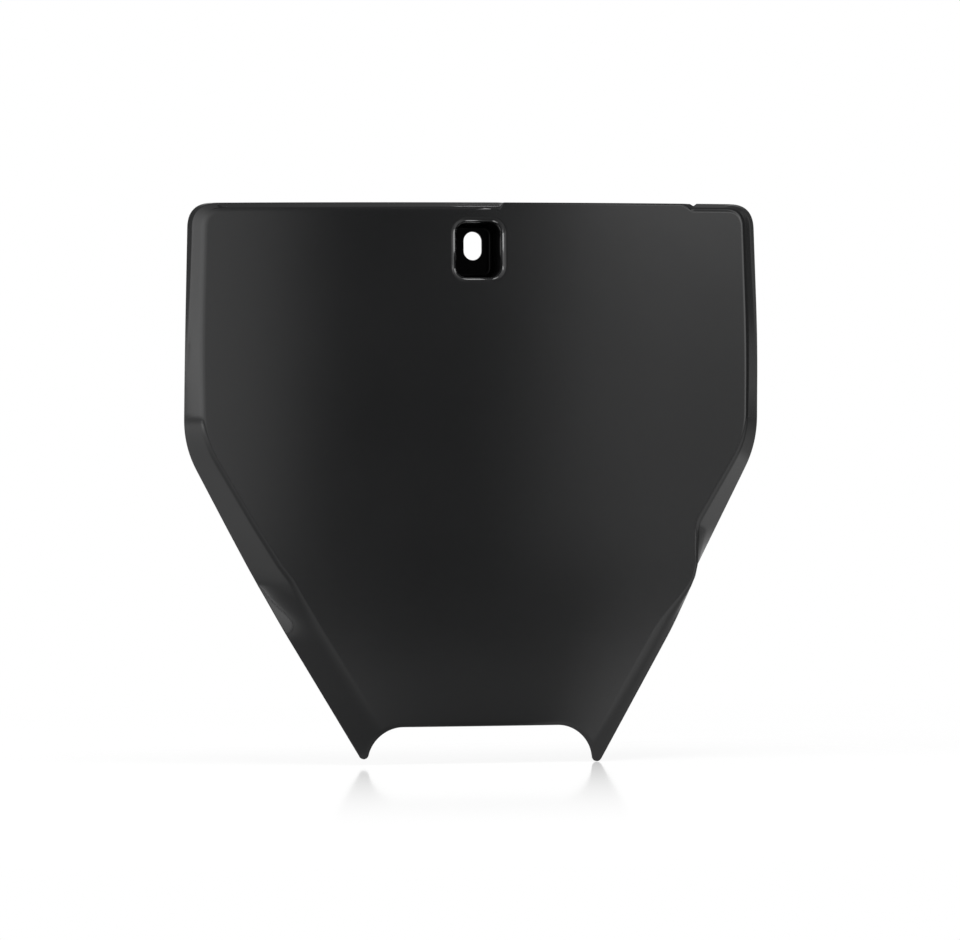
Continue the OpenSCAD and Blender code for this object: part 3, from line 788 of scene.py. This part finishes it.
def makeFloor():
    s = studio
    half = s["floorSize"] / 2
    mesh = bpy.data.meshes.new("floor")
    corners = [(-half, -half, s["floorZ"]), (half, -half, s["floorZ"]), (half, half, s["floorZ"]),
               (-half, half, s["floorZ"])]
    mesh.from_pydata(corners, [], [(0, 1, 2, 3)])
    floor = bpy.data.objects.new("floor", mesh)
    bpy.context.scene.collection.objects.link(floor)
    material = bpy.data.materials.new("paleFloor")
    material.use_nodes = True
    tree = material.node_tree
    tree.nodes.clear()
    node = Shader.node
    x, y = parts(tree, node(tree, "ShaderNodeTexCoord", output=3))[:2]
    # The gloss is strongest at the feet and is gone at glossReach
    outside = (x.absolute() - s["feet"]).atLeast(0.0)
    far = (outside * outside + y * y) ** 0.5
    fade = (1 - far / s["glossReach"]).limited() ** 2
    # Painted shades: a bell over the angle in front, a bell over the distance to the feet, and ramps to the
    # sides
    azimuth = x.angleFrom(0 - y)
    turn = (azimuth - math.radians(s["frontTurn"])) / math.radians(s["frontWidth"])
    beside = ((azimuth - math.radians(s["rightTurn"])) * s["rightSlope"]).limited()
    ahead = (0 - y / s["frontReach"]).limited()
    front = (0 - turn * turn * turn * turn).bell() * ahead * s["frontShade"]
    near = (0 - far * far / s["nearReach"] ** 2).bell() * (0 - y / s["nearFront"]).limited() * s["nearShade"]
    near = near * (1 - beside * s["nearRight"])
    right = ((x - s["backStart"]) * s["backSlope"]).limited()
    back = right * (y / s["backReach"] + s["backShift"]).limited() * s["backShade"]
    left = (0 - x * s["leftSlope"] - s["leftShift"]).limited()
    paler = beside * ahead * s["rightGain"] + left * s["leftGain"]
    shade = (1 - front) * (1 - near) * (1 - back) * (1 + paler)
    # painted shade and light of the floor, seen only in reflections
    paintedFloorShade = node(tree, "ShaderNodeMix", {"data_type": "RGBA"},
                  {0: shade * s["floorShadeGrey"], 6: (0, 0, 0, 1), 7: (1, 1, 1, 1)}, output=2)
    mirrored = node(tree, "ShaderNodeBsdfDiffuse", None, {"Color": paintedFloorShade})
    plain = node(tree, "ShaderNodeBsdfDiffuse", None, {"Color": s["floorColour"]})
    gloss = node(tree, "ShaderNodeBsdfGlossy", None, {"Color": (1, 1, 1, 1), "Roughness": s["glossRoughness"]})
    glow = node(tree, "ShaderNodeEmission", None, {"Color": (1, 1, 1, 1), "Strength": 1.0})
    white = (far / s["whiteReach"]).limited() * (1 - s["white"]) + s["white"]  # whole but for the shadow
    pale = node(tree, "ShaderNodeMixShader", None, {0: white, 1: plain, 2: glow})
    seen = node(tree, "ShaderNodeMixShader", None, {0: fade * s["gloss"], 1: pale, 2: gloss})
    isCamera = node(tree, "ShaderNodeLightPath")
    both = node(tree, "ShaderNodeMixShader", None, {0: isCamera, 1: mirrored, 2: seen})
    out = tree.nodes.new("ShaderNodeOutputMaterial")
    tree.links.new(both.socket, out.inputs["Surface"])
    mesh.materials.append(material)


def makeLamp(name, place, aim, sizeX, sizeY, power, spread=180):
    data = bpy.data.lights.new(name, "AREA")
    data.shape, data.size, data.size_y, data.energy = "RECTANGLE", sizeX, sizeY, power
    data.spread = math.radians(spread)
    lamp = bpy.data.objects.new(name, data)
    bpy.context.scene.collection.objects.link(lamp)
    lamp.location = place
    lamp.rotation_euler = (Vector(aim) - Vector(place)).to_track_quat("-Z", "Y").to_euler()
    lamp.visible_camera = False
    return lamp


def makeLamps():
    for settings in studio["lamps"]:
        makeLamp(*settings).visible_glossy = False
    for settings in studio["gleams"]:
        makeLamp(*settings).visible_diffuse = False


surroundings = {
    "base": 0.12,
    # azimuth from the front towards the right, half width of it, height, half height, strength
    "panels": [(-72, 44, 0.0, 0.8, 1.8),  # left wall
               (-19.5, 13.2, 0.0, 0.8, 0.69),  # front, to the left
               (33, 19, 0.0, 0.8, 0.55),  # front, to the right
               (51, 10, 0.0, 0.8, 1.8),  # right, beside the fold
               (118, 7, 0.0, 0.7, 0.2),  # right, behind
               (32, 13.5, 0.105, 0.042, 2.2),  # box above the front, to the right
               (172, 22, 0.0, 0.3, 0.9)],  # back wall
}


def makeWorld():
    # Soft studio walls of uneven light, dim in front; plain white where the camera sees them
    world = bpy.data.worlds.new("studio")
    bpy.context.scene.world = world
    world.use_nodes = True
    tree = world.node_tree
    tree.nodes.clear()
    node = Shader.node
    x, y, z = parts(tree, node(tree, "ShaderNodeTexCoord", output=0))
    glow = surroundings["base"]
    for azimuth, halfWidth, height, halfHeight, strength in surroundings["panels"]:
        # A bell with a flat top over the angle from the panel's middle, and a plain one over the height
        a = math.radians(azimuth)
        ahead = x * math.sin(a) - y * math.cos(a)
        aside = x * math.cos(a) + y * math.sin(a)
        turn = aside.angleFrom(ahead) / math.radians(halfWidth)
        rise = (z - height) / halfHeight
        glow = (0 - turn * turn * turn * turn - rise * rise).bell() * strength + glow
    light = node(tree, "ShaderNodeBackground", None, {"Color": (1, 1, 1, 1), "Strength": glow})
    white = node(tree, "ShaderNodeBackground", None, {"Color": (1, 1, 1, 1), "Strength": 1.0})
    isCamera = node(tree, "ShaderNodeLightPath")
    both = node(tree, "ShaderNodeMixShader", None, {0: isCamera, 1: light, 2: white})
    out = tree.nodes.new("ShaderNodeOutputWorld")
    tree.links.new(both.socket, out.inputs["Surface"])


makeFloor()
makeLamps()
makeWorld()
bpy.context.scene.view_settings.view_transform = "Standard"
print("studio set")
